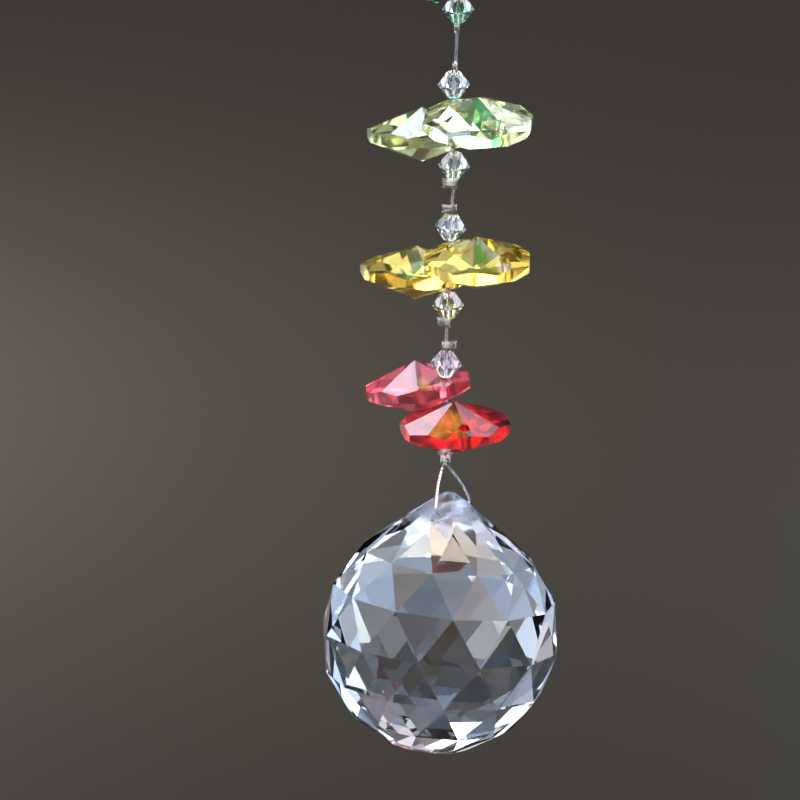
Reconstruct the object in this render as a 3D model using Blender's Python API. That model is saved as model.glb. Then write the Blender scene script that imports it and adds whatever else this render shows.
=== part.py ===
"""A hanging suncatcher: four pairs of octagon crystals on a beaded wire, over a faceted crystal ball.

Run it with blender --background --python part.py, or from Blender's text editor. Units are metres, +Z is up
and -Y is the front. The origin is the point of the hanging ring that a hook bears on, so all hangs below it.
"""

import math

import bmesh
import bpy
import numpy as np
from mathutils import Matrix, Vector

MM = 0.001

# Hanging ring.
ring_wire = 1.2 * MM
ring_bore = 7.6 * MM
ring_steps = 32
ring_sides = 8

# Beading wire. Two strands of it lie side by side in each loop crimp.
wire_diameter = 0.36 * MM
strand_gap = 0.06 * MM
strand_pitch = wire_diameter + strand_gap

# Crimps: short soft tubes, squeezed flat on the wire, with a waist between their two rims.
crimp_height = 1.15 * MM
crimp_width = 1.95 * MM
loop_crimp_width = 1.3 * MM
crimp_wall = 0.12 * MM
crimp_fit = 0.05 * MM
crimp_waist = 0.93
crimp_sides = 16
crimp_bore = wire_diameter + 2 * crimp_fit
crimp_thickness = crimp_bore + 2 * crimp_wall

# Bicones: six sided, widest in the middle, flat at both ends.
bicone_width = 4.0 * MM
bicone_length = 3.25 * MM
bicone_end = 1.65 * MM
bicone_sides = 6
bicone_slack = 0.15 * MM
bicone_bore = wire_diameter + strand_pitch + 2 * bicone_slack

# Octagons: eight kite facets on each side, each centred on a corner, and eight flat walls round the edge.
octagon_across = 14.05 * MM
octagon_thickness = 6.8 * MM
octagon_crown = 2.5 * MM
octagon_sides = 8
octagon_slack = 0.5 * MM
octagon_hole_edge = 1.57 * MM
octagon_bore = wire_diameter + 2 * octagon_slack
bore_sides = 12

# Gap between one bead and the next where they touch.
bead_gap = 0.05 * MM
seat_grid = 0.05 * MM

# Wire left bare between one group of beads and the next.
bare_green_lemon = 3.75 * MM
bare_lemon_gold = 2.1 * MM
bare_gold_red = 1.8 * MM

# Loops of wire: round the ring at the top, and through the ball at the bottom.
top_loop_drop = 4.2 * MM
top_loop_gap = 0.1 * MM
bottom_loop_drop = 6.05 * MM
bottom_loop_bulge = 0.4 * MM
bottom_loop_turn = math.radians(-29)

# Crystal ball: rings of corners a step apart, each ring half a facet round from the last.
ball_across = 30.2 * MM
ball_facets = 12
ball_middle_latitude = math.radians(-1.4)
ball_latitude_step = math.radians(22.6)
ball_first_corner = math.radians(-10.8)
ball_rings_up = 2
ball_rings_down = 3
ball_foot_rise = 0.7 * MM

# The ball's cone and blunt tip, and its cross hole.
cone_slope = math.radians(39.3)
cone_facet_radius = 5.9 * MM
cone_top_radius = 2.2 * MM
tip_rise = 1.0 * MM
tip_radius = 0.7 * MM
tip_offset = -0.6 * MM
tip_facets = 6
hole_cone_radius = 3.95 * MM
hole_bore = wire_diameter + 2 * octagon_slack
hole_play = 0.12 * MM
ball_lean = math.radians(4.2)
ball_back = math.radians(2.7)

# Colours.
CLEAR = (0.93, 0.96, 1.0)
GREEN = (0.01, 0.42, 0.12)
LEMON = (0.9, 0.93, 0.6)
GOLD = (0.95, 0.66, 0.05)
ROSE = (0.72, 0.04, 0.09)
RED = (0.68, 0.01, 0.02)
SILVER = (0.66, 0.64, 0.56)
STEEL = (0.42, 0.42, 0.43)


def clear_scene():
    for obj in list(bpy.data.objects):
        bpy.data.objects.remove(obj, do_unlink=True)


def new_collection(name, helper=False):
    collection = bpy.data.collections.new(name)
    bpy.context.scene.collection.children.link(collection)
    collection.hide_render = helper
    return collection


def new_material(name, colour, roughness, metallic=0.0, transmission=0.0):
    material = bpy.data.materials.new(name)
    material.use_nodes = True
    shader = material.node_tree.nodes["Principled BSDF"]
    shader.inputs["Base Color"].default_value = (*colour, 1.0)
    shader.inputs["Roughness"].default_value = roughness
    shader.inputs["Metallic"].default_value = metallic
    shader.inputs["Transmission Weight"].default_value = transmission
    material.diffuse_color = (*colour, 1.0)
    return material


def crystal(name, colour):
    return new_material(name, colour, roughness=0.02, transmission=0.9)


def metal(name, colour, roughness):
    return new_material(name, colour, roughness, metallic=1.0)


def place_object(name, mesh, material, matrix):
    """An object of its own on the suncatcher, with its own material on a mesh that others may share."""
    obj = bpy.data.objects.new(name, mesh)
    parts.objects.link(obj)
    if not mesh.materials:
        mesh.materials.append(None)
    obj.material_slots[0].link = "OBJECT"
    obj.material_slots[0].material = material
    obj.parent = hanger
    obj.matrix_world = matrix
    return obj


def hull_mesh(name, points):
    """The convex solid round the points, with flat facets."""
    bm = bmesh.new()
    for point in points:
        bm.verts.new(point)
    bmesh.ops.convex_hull(bm, input=bm.verts)
    bmesh.ops.delete(bm, geom=[vert for vert in bm.verts if not vert.link_faces], context="VERTS")
    bmesh.ops.recalc_face_normals(bm, faces=bm.faces)
    mesh = bpy.data.meshes.new(name)
    bm.to_mesh(mesh)
    bm.free()
    return mesh


def ring_points(count, radius, height, first=0.0):
    """Corners evenly round the Z axis. Angle 0 is +X."""
    step = math.tau / count
    return [
        Vector((radius * math.cos(first + i * step), radius * math.sin(first + i * step), height))
        for i in range(count)
    ]


def bore_cutter(name, bore, length, centres):
    """A round drill along Z, or one slot where several centres are given."""
    points = []
    for x in centres:
        for z in (-length / 2, length / 2):
            for point in ring_points(bore_sides, bore / 2, z):
                points.append(point + Vector((x, 0, 0)))
    cutter = bpy.data.objects.new(name, hull_mesh(name, points))
    cutters.objects.link(cutter)
    cutter.hide_render = True
    cutter.display_type = "WIRE"
    return cutter


def drilled(name, mesh, drills):
    """The mesh with each drill taken out of it, as a mesh that several objects can share."""
    blank = bpy.data.objects.new(name + "_blank", mesh)
    cutters.objects.link(blank)
    blank.hide_render = True
    blank.display_type = "WIRE"
    for drill in drills:
        cut = blank.modifiers.new(drill.name, "BOOLEAN")
        cut.operation = "DIFFERENCE"
        cut.solver = "EXACT"
        cut.object = drill
    graph = bpy.context.evaluated_depsgraph_get()
    result = bpy.data.meshes.new_from_object(blank.evaluated_get(graph))
    result.name = name
    return result


# Shapes of the beads and crimps, each round its own middle.
def octagon_points():
    """Corners of an octagon crystal. Its holes are at +X and -X, each under the middle of a wall."""
    radius = octagon_across / 2
    wall_radius = radius * math.cos(math.pi / octagon_sides)
    apex = octagon_thickness / 2
    wall_edge = apex - octagon_crown
    corner_edge = apex - octagon_crown * (radius / wall_radius) ** 2
    points = [Vector((0, 0, apex)), Vector((0, 0, -apex))]
    for side in (1, -1):
        points += ring_points(octagon_sides, wall_radius, side * wall_edge)
        points += ring_points(octagon_sides, radius, side * corner_edge, math.pi / octagon_sides)
    return points


def bicone_points():
    half = bicone_length / 2
    points = ring_points(bicone_sides, bicone_width / 2, 0)
    for side in (1, -1):
        points += ring_points(bicone_sides, bicone_end / 2, side * half)
    return points


def crimp_points(width):
    """The two rims of a crimp."""
    flatten = Matrix.Diagonal((1, crimp_thickness / width, 1))
    points = []
    for z in (-crimp_height / 2, crimp_height / 2):
        points += [flatten @ point for point in ring_points(crimp_sides, width / 2, z)]
    return points


def crimp_blank(name, width):
    """A squeezed tube: a cylinder with two more rings of corners, drawn in to a waist and flattened."""
    bm = bmesh.new()
    bmesh.ops.create_cone(
        bm,
        cap_ends=True,
        segments=crimp_sides,
        radius1=width / 2,
        radius2=width / 2,
        depth=crimp_height,
    )
    waist_at = crimp_height / 5
    for z in (-waist_at, waist_at):
        everything = bm.verts[:] + bm.edges[:] + bm.faces[:]
        bmesh.ops.bisect_plane(bm, geom=everything, plane_co=(0, 0, z), plane_no=(0, 0, 1))
    for vert in bm.verts:
        inside = abs(vert.co.z) < 1.5 * waist_at
        draw_in = crimp_waist if inside else 1.0
        vert.co.x *= draw_in
        vert.co.y *= draw_in * crimp_thickness / width
    mesh = bpy.data.meshes.new(name)
    bm.to_mesh(mesh)
    bm.free()
    return mesh


# How the beads sit on one another.
def facet_planes(points, matrix):
    """The convex solid of the points, turned by the matrix, as rows of normal x, y, z and offset."""
    bm = bmesh.new()
    for point in points:
        bm.verts.new(matrix @ point)
    bmesh.ops.convex_hull(bm, input=bm.verts)
    bmesh.ops.recalc_face_normals(bm, faces=bm.faces)
    rows = [(*face.normal, face.normal.dot(face.verts[0].co)) for face in bm.faces]
    reach = max(math.hypot(vert.co.x, vert.co.y) for vert in bm.verts)
    bm.free()
    return np.array(rows), reach


def heights(planes, x, y, side):
    """Height of the solid's top, side 1, or of its underside, side -1, over each x and y."""
    facing = planes[side * planes[:, 2] > 1e-6]
    z = (facing[:, 3, None, None] - facing[:, 0, None, None] * x - facing[:, 1, None, None] * y)
    z = z / facing[:, 2, None, None]
    return z.min(axis=0) if side > 0 else z.max(axis=0)


def seat_distance(upper, lower):
    """How far below the upper bead's middle the lower one's comes to rest."""
    reach = min(upper.reach, lower.reach)
    steps = np.arange(-reach, reach + seat_grid, seat_grid)
    x, y = np.meshgrid(steps, steps)
    below = heights(upper.planes, x, y, -1)
    above = heights(lower.planes, x, y, 1)
    shared = below <= heights(upper.planes, x, y, 1)
    shared &= heights(lower.planes, x, y, -1) <= above
    return float((above - below)[shared].max()) + bead_gap


class Threaded:
    """One piece on the wire. Its middle is the point of it that the wire runs through."""

    def __init__(self, name, points, turn, sway, material, mesh, offset=0.0):
        self.name = name
        self.turn = turn.to_4x4() @ Matrix.Translation((offset, 0, 0))
        self.planes, self.reach = facet_planes(points, self.turn)
        self.sway = sway * MM
        self.material = material
        self.mesh = mesh
        self.z = 0.0


def turned(z=0.0, y=0.0, x=0.0):
    """A turn about X, then Y, then Z, in degrees."""
    rotation = Matrix.Rotation(math.radians(z), 3, "Z")
    rotation = rotation @ Matrix.Rotation(math.radians(y), 3, "Y")
    return rotation @ Matrix.Rotation(math.radians(x), 3, "X")


def octagon(name, colour, turn, dip, roll, sway=0.0):
    """An octagon that reaches out from the wire towards turn. Its far end dips, and it rolls about its length."""
    material = crystal("crystal_" + name, colour)
    pose = turned(z=turn, y=dip, x=roll)
    return Threaded(
        "octagon_" + name, octagon_points(), pose, sway, material, octagon_mesh, octagon_hole_offset
    )


def bicone(name, lean=0.0, nod=0.0, spin=0.0, sway=0.0):
    """A bicone whose top leans to the right and nods to the front."""
    material = crystal("crystal_" + name, CLEAR)
    pose = turned(y=lean, x=nod) @ turned(z=spin)
    return Threaded("bicone_" + name, bicone_points(), pose, sway, material, bicone_mesh)


def crimp(name, turn=0.0, aside=0.0, sway=0.0, loop=False):
    """A crimp whose flat side faces turn degrees from the front. The wire lies aside from its middle, in mm."""
    material = metal("metal_" + name, SILVER, roughness=0.3)
    width = loop_crimp_width if loop else crimp_width
    if loop:
        drill = bore_cutter(
            "slot_" + name, crimp_bore, 2 * crimp_height, (-strand_pitch / 2, strand_pitch / 2)
        )
    else:
        drill = bore_cutter("bore_" + name, crimp_bore, 2 * crimp_height, (-aside * MM,))
    mesh = drilled("crimp_" + name, crimp_blank("blank_" + name, width), [drill])
    return Threaded(
        "crimp_" + name, crimp_points(width), turned(z=turn), sway, material, mesh, aside * MM
    )


def thread(groups, bare, top):
    """Sets each piece's height: down from the top, each resting under the last, with bare wire between groups."""
    z = top
    for i, group in enumerate(groups):
        z -= (bare[i - 1] if i else 0.0) + crimp_height / 2
        group[0].z = z
        for upper, lower in zip(group, group[1:]):
            z -= seat_distance(upper, lower)
            lower.z = z
        z -= crimp_height / 2
    return z


# Wire.
def bezier(a, b, c, d, steps):
    """Points of a cubic curve, without its last."""
    found = []
    for i in range(steps):
        t = i / steps
        s = 1 - t
        found.append(s**3 * a + 3 * s * s * t * b + 3 * s * t * t * c + t**3 * d)
    return found


def top_loop(crimp_top, tube_centre):
    """From the end tucked into the first bicone, round the ring, and back to the crimp. It lies in the YZ plane."""
    radius = ring_wire / 2 + top_loop_gap + wire_diameter / 2
    half = strand_pitch / 2
    sag = (tube_centre - crimp_top) / 2
    rise = bezier(
        Vector((0, half, crimp_top)),
        Vector((0, half, crimp_top + sag)),
        Vector((0, radius, tube_centre - sag)),
        Vector((0, radius, tube_centre)),
        8,
    )
    over = [
        Vector((0, radius * math.cos(a), tube_centre + radius * math.sin(a)))
        for a in np.linspace(0, math.pi, 9)
    ]
    fall = [Vector((0, -point.y, point.z)) for point in reversed(rise)]
    return rise + over + fall


def bottom_loop(crimp_bottom, sway, hole, slope, side):
    """One strand from the crimp out to the ball's cross hole. Side -1 is the left and front strand."""
    mouth = hole_cone_radius
    reach = mouth + bottom_loop_bulge
    drop = crimp_bottom - hole.z
    flat = bezier(
        Vector((strand_pitch / 2, drop, 0)),
        Vector((0.2 * reach, 0.7 * drop, 0)),
        Vector((0.74 * reach, 0.44 * drop, 0)),
        Vector((0.98 * reach, 0.14 * drop, 0)),
        10,
    )
    flat += bezier(
        Vector((0.98 * reach, 0.14 * drop, 0)),
        Vector((1.03 * reach, 0.04 * drop, 0)),
        Vector((mouth, 0, 0)),
        Vector((0.88 * mouth, 0, 0)),
        6,
    )
    points = []
    for u, rise, _ in flat:
        down = 1 - rise / drop
        # The strands leave the crimp side by side, and swing round to the hole's direction.
        azimuth = bottom_loop_turn + (-math.pi / 2 - bottom_loop_turn) * (1 - down) ** 3
        middle = sway + (hole.x - sway) * down, hole.y * down
        points.append(
            Vector(
                (
                    middle[0] - side * u * math.sin(azimuth),
                    middle[1] + side * u * math.cos(azimuth),
                    hole.z + rise + side * slope * u * down**2,
                )
            )
        )
    return points


def wire_mesh(points):
    """The wire as one closed tube along the points."""
    curve = bpy.data.curves.new("wire", "CURVE")
    curve.dimensions = "3D"
    curve.bevel_depth = wire_diameter / 2
    curve.bevel_resolution = 2
    curve.use_fill_caps = True
    spline = curve.splines.new("POLY")
    spline.points.add(len(points) - 1)
    for spot, point in zip(spline.points, points):
        spot.co = (*point, 1)
    return curve


# Crystal ball.
def cone_height(flat_radius):
    """Height over the ball's centre of the long kite facets, where they are this far from the axis."""
    latitude = ball_middle_latitude + ball_rings_up * ball_latitude_step
    corner_radius = ball_across / 2 * math.cos(latitude)
    corner_height = ball_across / 2 * math.sin(latitude)
    rise = (corner_radius - cone_facet_radius) * math.tan(cone_slope)
    run = corner_radius - cone_facet_radius * math.cos(math.pi / ball_facets)
    return corner_height + (corner_radius - flat_radius) * rise / run


def ball_points():
    """Corners of the ball: latitude rings, each half a facet round from the next, a cone, and a blunt tip.

    The cone has twelve long kites, each from a corner of the top latitude ring to the tip, and the
    triangles between them reach up as far as the cone's facet radius. The cone is cut a little to one
    side, so it shears evenly from its foot to its tip.
    """
    half_facet = math.pi / ball_facets
    first = ball_first_corner - math.pi / 2
    points = []
    for ring in range(-ball_rings_down, ball_rings_up + 1):
        latitude = ball_middle_latitude + ring * ball_latitude_step
        points += ring_points(
            ball_facets,
            ball_across / 2 * math.cos(latitude),
            ball_across / 2 * math.sin(latitude),
            first + (ring % 2) * half_facet,
        )
    shift = (ball_rings_up + 1) % 2 * half_facet
    cone = []
    for radius in (cone_facet_radius, cone_top_radius):
        height = cone_height(radius * math.cos(half_facet))
        cone += ring_points(ball_facets, radius, height, first + shift)
    tip = height + tip_rise
    cone += ring_points(tip_facets, tip_radius, tip)
    foot = points[-1].z
    points += [point + Vector((tip_offset * (point.z - foot) / (tip - foot), 0, 0)) for point in cone]
    points.append(Vector((0, 0, ball_foot_rise - ball_across / 2)))
    return points


clear_scene()
parts = new_collection("suncatcher")
cutters = new_collection("cutters", helper=True)
hanger = bpy.data.objects.new("suncatcher_hanger", None)
parts.objects.link(hanger)

# Hanging ring: its inside touches the origin at the top, and it faces the front.
tube_centre = -(ring_bore + ring_wire / 2)
bpy.ops.mesh.primitive_torus_add(
    major_segments=ring_steps,
    minor_segments=ring_sides,
    major_radius=(ring_bore + ring_wire) / 2,
    minor_radius=ring_wire / 2,
    location=(0, 0, -ring_bore / 2),
    rotation=(math.pi / 2, 0, 0),
)
ring = bpy.context.object
ring.name = "hanging_ring"
ring.data.name = "hanging_ring"
ring.data.materials.append(metal("metal_hanging_ring", SILVER, roughness=0.25))
ring.data.shade_smooth()
for collection in list(ring.users_collection):
    collection.objects.unlink(ring)
parts.objects.link(ring)
ring.parent = hanger

# Meshes that the beads share.
octagon_hole_offset = octagon_across / 2 * math.cos(math.pi / octagon_sides) - octagon_hole_edge
octagon_drills = [
    bore_cutter(f"octagon_drill_{i}", octagon_bore, 2 * octagon_thickness, (x,))
    for i, x in enumerate((-octagon_hole_offset, octagon_hole_offset))
]
octagon_mesh = drilled("octagon_bead", hull_mesh("octagon_hull", octagon_points()), octagon_drills)
bicone_drill = bore_cutter("bicone_drill", bicone_bore, 2 * bicone_length, (0.0,))
bicone_mesh = drilled("bicone_bead", hull_mesh("bicone_hull", bicone_points()), [bicone_drill])

# The threaded pieces of each group, from the top down.
green = [
    crimp("green_upper", turn=90, loop=True),
    bicone("green_upper"),
    octagon("green_upper", GREEN, turn=-60, dip=5, roll=4),
    octagon("green_lower", GREEN, turn=128, dip=4, roll=-2),
    bicone("green_lower", lean=-2, nod=2.5, sway=-0.08),
    crimp("green_lower", turn=80, aside=-0.35, sway=-0.1),
]
lemon = [
    crimp("lemon_upper", turn=84, aside=-0.35, sway=-0.2),
    bicone("lemon_upper", lean=-2.5, nod=4, sway=-0.32),
    octagon("lemon_upper", LEMON, turn=-53.4, dip=7, roll=6.2, sway=-0.18),
    octagon("lemon_lower", LEMON, turn=144.2, dip=4.2, roll=2.4, sway=-0.1),
    bicone("lemon_lower", lean=3, nod=2, sway=0.0),
    crimp("lemon_lower", turn=-6, aside=-0.42),
]
gold = [
    crimp("gold_upper", turn=8, aside=-0.3, sway=-0.12),
    bicone("gold_upper", lean=5, nod=-1, spin=-8, sway=-0.2),
    octagon("gold_upper", GOLD, turn=-46.3, dip=2.2, roll=4.6, sway=-0.2),
    octagon("gold_lower", GOLD, turn=147.9, dip=0, roll=1.6, sway=-0.18),
    bicone("gold_lower", lean=-2.5, nod=-2, sway=-0.2),
    crimp("gold_lower", turn=-28, aside=-0.42, sway=-0.28),
]
red = [
    crimp("red_upper", turn=14, aside=0.38, sway=-0.3),
    bicone("red_upper", lean=1, nod=5, spin=-4, sway=-0.24),
    octagon("red_upper", ROSE, turn=135.8, dip=8, roll=-4.4, sway=-0.14),
    octagon("red_lower", RED, turn=-76.1, dip=2.6, roll=4, sway=-0.06),
    bicone("red_lower"),
    crimp("red_lower", loop=True, sway=0.04),
]
groups = [green, lemon, gold, red]
crimp_bottom = thread(
    groups, (bare_green_lemon, bare_lemon_gold, bare_gold_red), tube_centre - top_loop_drop
)
pieces = [piece for group in groups for piece in group]
for piece in pieces:
    spot = Matrix.Translation((piece.sway, 0, piece.z))
    place_object(piece.name, piece.mesh, piece.material, spot @ piece.turn)

# Crystal ball: the wire bears on the top of its cross hole, and its middle hangs straight under the crimp.
ball_turn = Matrix.Rotation(ball_lean, 3, "Y") @ Matrix.Rotation(-ball_back, 3, "X")
hole_above_centre = cone_height(hole_cone_radius)
bearing = hole_above_centre + hole_bore / 2 - wire_diameter / 2 - hole_play
last_sway = pieces[-1].sway
bearing_arm = ball_turn @ Vector((0, 0, bearing))
ball_centre = Vector((last_sway, 0, crimp_bottom - bottom_loop_drop - bearing_arm.z))
hole_point = ball_centre + bearing_arm
ball_drill = bore_cutter("ball_drill", hole_bore, ball_across, (0.0,))
ball_drill.matrix_world = (
    Matrix.Translation((0, 0, hole_above_centre))
    @ Matrix.Rotation(bottom_loop_turn, 4, "Z")
    @ Matrix.Rotation(math.pi / 2, 4, "X")
)
bpy.context.view_layer.update()
ball_mesh = drilled("crystal_ball", hull_mesh("ball_hull", ball_points()), [ball_drill])
place_object(
    "crystal_ball",
    ball_mesh,
    crystal("crystal_ball", CLEAR),
    Matrix.Translation(ball_centre) @ ball_turn.to_4x4(),
)

# Wire: from its upper end in the first bicone to its lower end in the last.
upper_end = Vector((0, strand_pitch / 2, pieces[1].z))
lower_end = Vector((last_sway + strand_pitch / 2, 0, pieces[-2].z))
main_run = [Vector((0, -strand_pitch / 2, pieces[0].z)), Vector((0, -strand_pitch / 2, pieces[1].z))]
main_run += [Vector((piece.sway, 0, piece.z)) for piece in pieces[2:-2]]
main_run += [
    Vector((last_sway - strand_pitch / 2, 0, piece.z)) for piece in pieces[-2:]
]
along_hole = ball_turn @ Vector((-math.sin(bottom_loop_turn), math.cos(bottom_loop_turn), 0))
left_strand = bottom_loop(crimp_bottom, last_sway, hole_point, along_hole.z, -1)
right_strand = bottom_loop(crimp_bottom, last_sway, hole_point, along_hole.z, 1)
route = [upper_end]
route += top_loop(pieces[0].z + crimp_height / 2, tube_centre)
route += main_run + left_strand + right_strand[::-1] + [lower_end]
wire = bpy.data.objects.new("wire", wire_mesh(route))
parts.objects.link(wire)
wire.data.materials.append(metal("metal_wire", STEEL, roughness=0.35))
wire.parent = hanger
bpy.context.view_layer.update()
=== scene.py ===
"""The looks of the hanging suncatcher: cut crystal, soft metal, beading wire, light, floor and camera.

Lengths are in metres, +Z is up and the camera looks along +Y. Colours are linear red, green and blue.
"""

import math

import bpy
from mathutils import Matrix, Vector


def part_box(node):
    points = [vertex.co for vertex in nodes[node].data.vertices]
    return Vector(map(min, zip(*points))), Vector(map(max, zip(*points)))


MM = 0.001

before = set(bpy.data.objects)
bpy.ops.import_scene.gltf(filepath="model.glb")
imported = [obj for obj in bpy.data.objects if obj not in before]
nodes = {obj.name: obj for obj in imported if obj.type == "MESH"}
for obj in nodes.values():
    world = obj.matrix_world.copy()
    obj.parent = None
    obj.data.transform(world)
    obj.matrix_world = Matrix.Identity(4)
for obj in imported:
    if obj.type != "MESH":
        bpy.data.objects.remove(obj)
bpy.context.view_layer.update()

# Camera: the photograph's field is 100 mm across at the string, seen from 0.9 m and 15 degrees above.
CAMERA_DISTANCE = 900 * MM
CAMERA_PITCH = math.radians(15.0)
CAMERA_ROLL = math.radians(1.65)
FIELD = 100 * MM
SENSOR_WIDTH_IN_MM = 36
NEAREST_SEEN = 0.01
FARTHEST_SEEN = 100
MIDDLE_HEIGHT = -75.4 * MM
STRING_RIGHT_OF_MIDDLE = 5.85 * MM


def add_camera():
    forward = Vector((0, math.cos(CAMERA_PITCH), -math.sin(CAMERA_PITCH)))
    level_up = Vector((0, math.sin(CAMERA_PITCH), math.cos(CAMERA_PITCH)))
    level_right = Vector((1, 0, 0))
    right = level_right * math.cos(CAMERA_ROLL) + level_up * math.sin(CAMERA_ROLL)
    up = level_up * math.cos(CAMERA_ROLL) - level_right * math.sin(CAMERA_ROLL)
    target = Vector((0, 0, MIDDLE_HEIGHT)) - right * STRING_RIGHT_OF_MIDDLE
    data = bpy.data.cameras.new("camera")
    data.sensor_width = SENSOR_WIDTH_IN_MM
    data.lens = SENSOR_WIDTH_IN_MM * CAMERA_DISTANCE / FIELD
    data.clip_start = NEAREST_SEEN
    data.clip_end = FARTHEST_SEEN
    camera = bpy.data.objects.new("camera", data)
    turn = Matrix((right, up, -forward)).transposed()
    camera.matrix_world = Matrix.Translation(target - forward * CAMERA_DISTANCE) @ turn.to_4x4()
    bpy.context.scene.collection.objects.link(camera)
    bpy.context.scene.camera = camera


add_camera()


# Shader nodes.
class Graph:
    """Short names for adding and joining shader nodes. Patterns are laid in the coordinates named space."""

    def __init__(self, tree, space):
        self.tree = tree
        self.space = space

    def node(self, kind, **settings):
        made = self.tree.nodes.new(kind)
        for key, value in settings.items():
            setattr(made, key, value)
        return made

    def join(self, start, end):
        self.tree.links.new(start, end)

    def coordinates(self):
        return self.node("ShaderNodeTexCoord").outputs[self.space]

    def noise(self, scale, detail=3.0, at=None):
        made = self.node("ShaderNodeTexNoise")
        made.inputs["Scale"].default_value = scale
        made.inputs["Detail"].default_value = detail
        self.join(at or self.coordinates(), made.inputs["Vector"])
        return made.outputs["Fac"]

    def spread(self, source, low, high, out_low, out_high, interpolation="LINEAR"):
        """Values from low to high, spread over out_low to out_high."""
        made = self.node("ShaderNodeMapRange", interpolation_type=interpolation)
        made.inputs["From Min"].default_value = low
        made.inputs["From Max"].default_value = high
        made.inputs["To Min"].default_value = out_low
        made.inputs["To Max"].default_value = out_high
        self.join(source, made.inputs["Value"])
        return made.outputs["Result"]

    def ramp(self, source, stops):
        made = self.node("ShaderNodeValToRGB")
        stripes = made.color_ramp.elements
        while len(stripes) < len(stops):
            stripes.new(0.5)
        for stripe, (at, colour) in zip(stripes, stops):
            stripe.position = at
            stripe.color = (*colour, 1)
        self.join(source, made.inputs["Fac"])
        return made.outputs["Color"]

    def math(self, operation, *values):
        made = self.node("ShaderNodeMath", operation=operation)
        for socket, value in zip(made.inputs, values):
            if isinstance(value, (int, float)):
                socket.default_value = value
            else:
                self.join(value, socket)
        return made.outputs["Value"]

    def axes(self, direction):
        made = self.node("ShaderNodeSeparateXYZ")
        self.join(direction, made.inputs["Vector"])
        return made.outputs


class Material(Graph):
    """The nodes of one new material, laid in the coordinates of the object that wears it."""

    def __init__(self, name):
        self.material = bpy.data.materials.new(name)
        self.material.use_nodes = True
        super().__init__(self.material.node_tree, "Object")
        self.shader = self.tree.nodes["Principled BSDF"]
        self.output = self.tree.nodes["Material Output"]

    def facing(self):
        """The way that each facet faces, in the world."""
        return self.node("ShaderNodeNewGeometry").outputs["True Normal"]

    def bump(self, source, depth, strength, below=None):
        made = self.node("ShaderNodeBump")
        made.inputs["Distance"].default_value = depth
        made.inputs["Strength"].default_value = strength
        self.join(source, made.inputs["Height"])
        if below is not None:
            self.join(below, made.inputs["Normal"])
        return made.outputs["Normal"]


# Polish of the crystal. Scales are in waves to a metre, ranges are where patterns fade in, and the
# roughness of each pattern is added to what is there.
CRYSTAL_IOR = 1.56
MARKS_SCALE = 2600
MARKS_RANGE = (0.2, 0.5)
MARKS_ROUGHNESS = 0.02
SMEARS_SCALE = 160
SMEARS_DEPTH = 0.004 * MM
SMEARS_BUMP = 0.4

# Walls of the octagons: how far the way that a facet faces may rise or dip, and where the wall's look ends.
WALL_RISE = 0.3
NO_WALL_RISE = 0.34
WALL_ROUGHNESS = 0.1
STREAKS_SCALE = (1500, 1500, 120)
STREAKS_DEPTH = 0.05 * MM
STREAKS_BUMP = 0.5

# Ground tip of the ball. It is frosty out to its reach, and fully so in the inner half of it.
GROUND_REACH = 7 * MM
GROUND_ROUGHNESS = 0.3
RIPPLES_SCALE = 900
RIPPLES_DEPTH = 0.12 * MM
RIPPLES_BUMP = 0.5

# Painted reflections of the ball: bluish, white and warm tints of the base colour, set by the way that each
# facet faces.
FACET_PAINTED_REFLECTIONS_SCALE = 6.0
FACET_PAINTED_REFLECTIONS = (
    (0.34, (0.62, 0.78, 1.0)),
    (0.42, (0.84, 0.9, 1.0)),
    (0.5, (1.0, 1.0, 1.0)),
    (0.58, (1.0, 0.95, 0.9)),
    (0.66, (0.86, 0.74, 0.76)),
)


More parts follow.
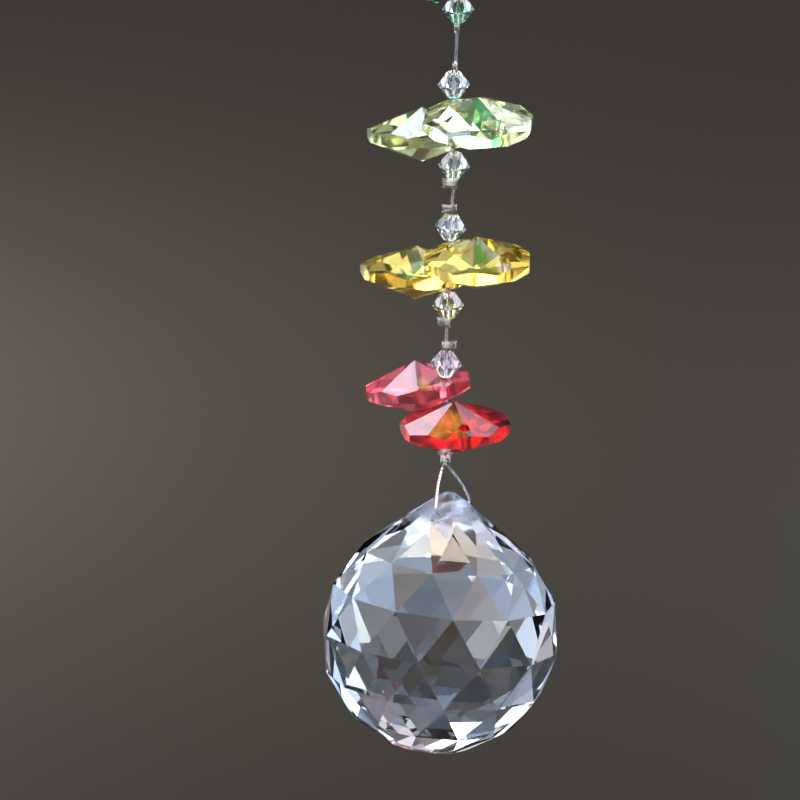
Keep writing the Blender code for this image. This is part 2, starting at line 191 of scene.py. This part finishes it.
def crystal(name, colour, depth_colour, density, haze, walls=False, ground_tip=None, painted_facet_reflections=False):
    """Cut and polished crystal: clear, with faint polishing marks, and deeper in colour where it is thick.

    The colour is the surface's own, and the depth colour is what light turns to on its way through. Haze is
    the least roughness, which softens the pieces of the surroundings seen through the facets. Walls are the
    narrow upright facets, left as the mould made them. The ground tip is a point with frosty ground surface
    round it. With painted facet reflections, the colour gives way to bluish, white and warm tints set by
    the way that a facet faces.
    """
    g = Material(name)
    g.shader.inputs["Base Color"].default_value = (*colour, 1)
    g.shader.inputs["Transmission Weight"].default_value = 1.0
    g.shader.inputs["IOR"].default_value = CRYSTAL_IOR
    g.shader.inputs["Metallic"].default_value = 0.0
    marks = g.noise(MARKS_SCALE, detail=2.0)
    smears = g.noise(SMEARS_SCALE, detail=4.0)
    smudges = g.math("MULTIPLY", marks, smears)
    roughness = g.spread(smudges, *MARKS_RANGE, haze, haze + MARKS_ROUGHNESS)
    normal = g.bump(smears, SMEARS_DEPTH, SMEARS_BUMP)
    if walls:
        rise = g.math("ABSOLUTE", g.axes(g.facing())["Z"])
        wall = g.spread(rise, NO_WALL_RISE, WALL_RISE, 0.0, 1.0)
        stretched = g.node("ShaderNodeMapping")
        stretched.inputs["Scale"].default_value = STREAKS_SCALE
        g.join(g.coordinates(), stretched.inputs["Vector"])
        streaks = g.math("MULTIPLY", g.noise(1.0, detail=2.0, at=stretched.outputs["Vector"]), wall)
        roughness = g.math("ADD", roughness, g.math("MULTIPLY", wall, WALL_ROUGHNESS))
        normal = g.bump(streaks, STREAKS_DEPTH, STREAKS_BUMP, below=normal)
    # Painted reflections: the base colour is tinted bluish, white and warm by the way that each facet
    # faces.
    if painted_facet_reflections:
        facets = g.noise(FACET_PAINTED_REFLECTIONS_SCALE, detail=0.0, at=g.facing())
        g.join(g.ramp(facets, FACET_PAINTED_REFLECTIONS), g.shader.inputs["Base Color"])
    if ground_tip:
        away = g.node("ShaderNodeVectorMath", operation="DISTANCE")
        g.join(g.coordinates(), away.inputs[0])
        away.inputs[1].default_value = ground_tip
        ground = g.spread(away.outputs["Value"], GROUND_REACH, 0.5 * GROUND_REACH, 0.0, 1.0)
        ripples = g.math("MULTIPLY", g.noise(RIPPLES_SCALE), ground)
        roughness = g.math("ADD", roughness, g.math("MULTIPLY", ground, GROUND_ROUGHNESS))
        normal = g.bump(ripples, RIPPLES_DEPTH, RIPPLES_BUMP, below=normal)
    g.join(roughness, g.shader.inputs["Roughness"])
    g.join(normal, g.shader.inputs["Normal"])
    volume = g.node("ShaderNodeVolumeAbsorption")
    volume.inputs["Color"].default_value = (*depth_colour, 1)
    volume.inputs["Density"].default_value = density
    g.join(volume.outputs["Volume"], g.output.inputs["Volume"])
    return g.material


# Plate of the crimps and the ring. From worn to whole, it turns brighter and smoother over these ranges.
PLATE_SCALE = 1500
BRIGHTER_RANGE = (0.35, 0.6)
SMOOTHER_RANGE = (0.3, 0.7)
WORN_ROUGHNESS = 0.1
DENTS_DEPTH = 0.07 * MM
DENTS_BUMP = 0.8


def plated(name, bright, worn, roughness):
    """Soft plated metal: squeezed, with tool marks, and darker and rougher where the plate has dulled."""
    g = Material(name)
    g.shader.inputs["Metallic"].default_value = 1.0
    shine = g.noise(PLATE_SCALE, detail=5.0)
    worn_at, bright_at = BRIGHTER_RANGE
    g.join(g.ramp(shine, ((worn_at, worn), (bright_at, bright))), g.shader.inputs["Base Color"])
    rough = g.spread(shine, *SMOOTHER_RANGE, roughness + WORN_ROUGHNESS, roughness)
    g.join(rough, g.shader.inputs["Roughness"])
    dents = g.noise(PLATE_SCALE, detail=2.0)
    g.join(g.bump(dents, DENTS_DEPTH, DENTS_BUMP), g.shader.inputs["Normal"])
    return g.material


# Strands of the wire: a wave that runs from 0 in the hollows between them to 1 on their crowns. The hollows
# are coloured darker, a painted shade.
STRANDS_SCALE = 900
STRANDS_DISTORTION = 0.4
STRANDS_DETAIL = 1.0
HOLLOW_UP_TO = 0.1
CROWN_FROM = 0.7
STRANDS_DEPTH = 0.02 * MM
STRANDS_BUMP = 0.7
HOLLOW_ROUGHNESS = 0.42
CROWN_ROUGHNESS = 0.26
COAT_WEIGHT = 0.6
COAT_ROUGHNESS = 0.18


def beading_wire(name, painted_hollow_shade, crown):
    """Fine steel strands twisted together under a thin clear nylon coat, with a painted shade darkening the
    hollows.
    """
    g = Material(name)
    g.shader.inputs["Metallic"].default_value = 1.0
    g.shader.inputs["Coat Weight"].default_value = COAT_WEIGHT
    g.shader.inputs["Coat Roughness"].default_value = COAT_ROUGHNESS
    wave = g.node(
        "ShaderNodeTexWave", wave_type="BANDS", bands_direction="DIAGONAL", wave_profile="SIN"
    )
    wave.inputs["Scale"].default_value = STRANDS_SCALE
    wave.inputs["Distortion"].default_value = STRANDS_DISTORTION
    wave.inputs["Detail"].default_value = STRANDS_DETAIL
    g.join(g.coordinates(), wave.inputs["Vector"])
    strands = wave.outputs["Fac"]
    # Painted shade: the hollows between the strands are coloured darker than the crowns.
    strand_colours_with_painted_shade = g.ramp(strands, ((HOLLOW_UP_TO, painted_hollow_shade), (CROWN_FROM, crown)))
    g.join(strand_colours_with_painted_shade, g.shader.inputs["Base Color"])
    rough = g.spread(strands, 0, 1, HOLLOW_ROUGHNESS, CROWN_ROUGHNESS)
    g.join(rough, g.shader.inputs["Roughness"])
    g.join(g.bump(strands, STRANDS_DEPTH, STRANDS_BUMP), g.shader.inputs["Normal"])
    return g.material


# Looks of the nodes, by the start of their names. A crystal's density is how fast light takes its colour.
ball_low, ball_high = (Vector(corner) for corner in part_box("crystal_ball"))
ball_tip = ((ball_low.x + ball_high.x) / 2, (ball_low.y + ball_high.y) / 2, ball_high.z)
looks = {
    "crystal_ball": crystal(
        "clear_ball_crystal",
        (0.96, 0.985, 1.0),
        (0.7, 0.85, 1.0),
        density=4,
        haze=0.012,
        ground_tip=ball_tip,
        # The ball's facets get painted reflections.
        painted_facet_reflections=True,
    ),
    "bicone": crystal(
        "clear_bicone_crystal", (0.98, 0.985, 1.0), (0.85, 0.9, 1.0), density=5, haze=0.08
    ),
    "octagon_green": crystal(
        "green_crystal", (0.2, 0.8, 0.42), (0.02, 0.55, 0.2), density=160, haze=0.06, walls=True
    ),
    "octagon_lemon": crystal(
        "lemon_crystal", (0.95, 0.98, 0.62), (0.88, 0.93, 0.3), density=30, haze=0.06, walls=True
    ),
    "octagon_gold": crystal(
        "gold_crystal", (1.0, 0.88, 0.3), (0.98, 0.75, 0.02), density=75, haze=0.06, walls=True
    ),
    "octagon_red_upper": crystal(
        "rose_red_crystal", (1.0, 0.3, 0.37), (0.95, 0.06, 0.1), density=75, haze=0.1, walls=True
    ),
    "octagon_red_lower": crystal(
        "deep_red_crystal", (0.94, 0.07, 0.08), (0.82, 0.01, 0.02), density=120, haze=0.1, walls=True
    ),
    "crimp": plated("crimp_plate", (0.96, 0.94, 0.88), (0.66, 0.63, 0.53), roughness=0.14),
    "hanging_ring": plated("ring_plate", (0.85, 0.84, 0.8), (0.55, 0.53, 0.48), roughness=0.16),
    # Wire colours: the painted shade of the hollows, then the crowns.
    "wire": beading_wire("beading_wire", (0.4, 0.4, 0.41), (0.72, 0.72, 0.74)),
}
FACETED = ("octagon", "bicone", "crystal")


def look_of(name):
    """The look whose key the node's name starts with, the longest one first."""
    for key in sorted(looks, key=len, reverse=True):
        if name.startswith(key):
            return looks[key]
    raise ValueError(name)


for name, obj in nodes.items():
    obj.data.materials.clear()
    obj.data.materials.append(look_of(name))
    if name.startswith(FACETED):
        obj.data.shade_flat()
    else:
        obj.data.shade_smooth()

# Floor, surroundings and lamps, which are not part of the object.
FLOOR_DROP = 700 * MM
FLOOR_SIZE = 60
FLOOR_COLOUR = (0.78, 0.75, 0.71)
FLOOR_ROUGHNESS = 0.9


def pale_floor():
    bpy.ops.mesh.primitive_plane_add(size=FLOOR_SIZE, location=(0, 0, -FLOOR_DROP))
    floor = bpy.context.object
    floor.name = "floor"
    g = Material("pale_floor")
    g.shader.inputs["Base Color"].default_value = (*FLOOR_COLOUR, 1)
    g.shader.inputs["Roughness"].default_value = FLOOR_ROUGHNESS
    g.shader.inputs["Specular IOR Level"].default_value = 0.0
    floor.data.materials.append(g.material)


# The room by direction, from in front of the object at 0 to behind it at 1.
ROOM_FRONT_TO_BACK = (
    (0.0, (0.13, 0.135, 0.15)),
    (0.3, (0.72, 0.76, 0.85)),
    (0.55, (0.8, 0.85, 1.0)),
    (0.74, (0.58, 0.6, 0.65)),
    (0.88, (0.026, 0.027, 0.03)),
)
ROOM_TINTS = ((0.42, (0.72, 0.85, 1.0)), (0.58, (1.0, 0.92, 0.86)))
ROOM_TINTS_SCALE = 3.1

# Patches of the room: the pattern's range, and the strengths at its two ends.
ROOM_PATCHES_SCALE = 4.6
ROOM_PATCHES_RANGE = (0.38, 0.62)
ROOM_STRENGTHS = (2.0, 8.2)

# The room is dim at the horizon, and reaches its full strength where directions rise this far.
ROOM_HORIZON_STRENGTH = 0.02
ROOM_FULL_RISE = 0.28


def soft_room():
    """Surroundings that gloss and glass see: bright at the sides, dark in front and behind, and patchy."""
    world = bpy.data.worlds.new("soft_room")
    world.use_nodes = True
    g = Graph(world.node_tree, "Generated")
    axes = g.axes(g.coordinates())
    base = g.ramp(g.spread(axes["Y"], -1, 1, 0, 1), ROOM_FRONT_TO_BACK)
    tint = g.ramp(g.noise(ROOM_TINTS_SCALE, detail=0.0), ROOM_TINTS)
    tinted = g.node("ShaderNodeVectorMath", operation="MULTIPLY")
    g.join(base, tinted.inputs[0])
    g.join(tint, tinted.inputs[1])
    rise = axes["Z"]
    above = g.spread(rise, 0, ROOM_FULL_RISE, ROOM_HORIZON_STRENGTH, 1, interpolation="SMOOTHSTEP")
    dimmed = g.node("ShaderNodeVectorMath", operation="SCALE")
    g.join(tinted.outputs["Vector"], dimmed.inputs[0])
    g.join(above, dimmed.inputs["Scale"])
    background = g.tree.nodes["Background"]
    patches = g.noise(ROOM_PATCHES_SCALE, detail=1.0)
    g.join(dimmed.outputs["Vector"], background.inputs["Color"])
    strength = g.spread(patches, *ROOM_PATCHES_RANGE, *ROOM_STRENGTHS)
    g.join(strength, background.inputs["Strength"])
    bpy.context.scene.world = world
    world.cycles_visibility.diffuse = False


# Lamps. Spreads are in degrees. The soft boxes stand round a point two thirds of the way down the string.
MIDDLE = Vector((0, 0, -80 * MM))
USUAL_SPREAD = 100
WIDEST_SPREAD = 180


def add_lamp(name, kind, colour):
    """A lamp that the camera doesn't see."""
    data = bpy.data.lights.new(name, kind)
    data.color = colour
    lamp = bpy.data.objects.new(name, data)
    lamp.visible_camera = False
    bpy.context.scene.collection.objects.link(lamp)
    return lamp


def soft_box(name, azimuth, elevation, distance, size, radiance, colour):
    """A rectangle of soft light that faces the object, azimuth degrees round from behind it to the right.

    Radiance is how bright it looks, whatever its size. It is seen by gloss and glass, and doesn't light
    the floor.
    """
    width, height = size
    round_about = math.radians(azimuth)
    rise = math.radians(elevation)
    level = math.cos(rise)
    away = Vector((math.sin(round_about) * level, math.cos(round_about) * level, math.sin(rise)))
    lamp = add_lamp(name, "AREA", colour)
    lamp.data.shape = "RECTANGLE"
    lamp.data.size = width
    lamp.data.size_y = height
    lamp.data.energy = radiance * math.pi * width * height
    lamp.data.spread = math.radians(WIDEST_SPREAD)
    lamp.location = MIDDLE + away * distance
    lamp.rotation_euler = (-away).to_track_quat("-Z", "Y").to_euler()
    lamp.visible_diffuse = False


def hide_from_glass(lamp):
    """Leaves the lamp's light on the floor, and takes the lamp itself out of what gloss and glass see."""
    lamp.visible_glossy = False
    lamp.visible_transmission = False


def floor_light(name, place, size, energy, colour, spread=USUAL_SPREAD):
    """A square lamp facing down at the floor, unseen by gloss and glass."""
    lamp = add_lamp(name, "AREA", colour)
    lamp.data.size = size
    lamp.data.energy = energy
    lamp.data.spread = math.radians(spread)
    lamp.location = place
    hide_from_glass(lamp)


def floor_sun(energy, angle, colour):
    """An even, very soft light over all of the floor."""
    lamp = add_lamp("floor_sun", "SUN", colour)
    lamp.data.energy = energy
    lamp.data.angle = math.radians(angle)
    hide_from_glass(lamp)


pale_floor()
soft_room()

# Azimuth and elevation in degrees, distance, size and radiance.
soft_box("window_behind", -22, 43, 2.2, (0.75, 0.6), 6.0, colour=(0.8, 0.84, 1.0))
soft_box("window_right", 35, 48, 2.2, (0.5, 0.5), 2.5, colour=(0.9, 0.92, 1.0))
soft_box("overhead", 0, 88, 2.0, (1.6, 1.6), 2.6, colour=(0.5, 0.72, 1.0))
soft_box("side_right", 95, 50, 2.4, (0.9, 0.9), 3.5, colour=(0.6, 0.8, 1.0))
soft_box("side_left", -95, 50, 2.4, (0.9, 0.9), 4.0, colour=(0.7, 0.85, 1.0))

floor_sun(energy=0.155, angle=90, colour=(1.0, 0.95, 0.87))

# Place, size and energy in watts. Those named below make pools of light that the ball's facets show.
floor_light("floor_pool", (-0.55, 2.3, -0.2), 0.3, 0.55, colour=(1.0, 0.92, 0.76), spread=WIDEST_SPREAD)
floor_light("floor_front", (-0.2, -1.9, 0.8), 1.2, 20.0, colour=(0.95, 0.97, 1.0), spread=120)
floor_light("floor_left", (-1.4, 0.2, 0.4), 0.8, 9.0, colour=(0.62, 0.8, 1.0))
floor_light("floor_right", (1.4, 0.2, 0.4), 0.8, 9.0, colour=(0.62, 0.8, 1.0))
floor_light("floor_back_left", (-1.6, 2.0, 0.4), 0.8, 8.5, colour=(0.75, 0.88, 1.0))
floor_light("floor_back_right", (1.6, 2.0, 0.4), 0.8, 8.5, colour=(0.75, 0.88, 1.0))
floor_light("below_left", (-0.35, 0.15, -0.45), 0.12, 0.5, colour=(0.84, 0.78, 1.0))
floor_light("below_middle", (0.05, 0.35, -0.45), 0.12, 0.28, colour=(1.0, 0.92, 0.76))
floor_light("below_right", (0.4, 0.1, -0.45), 0.12, 0.5, colour=(0.7, 0.85, 1.0))
floor_light("below_front", (0.0, -0.35, -0.3), 0.12, 0.9, colour=(0.8, 0.9, 1.0))

bpy.context.scene.view_settings.view_transform = "Standard"
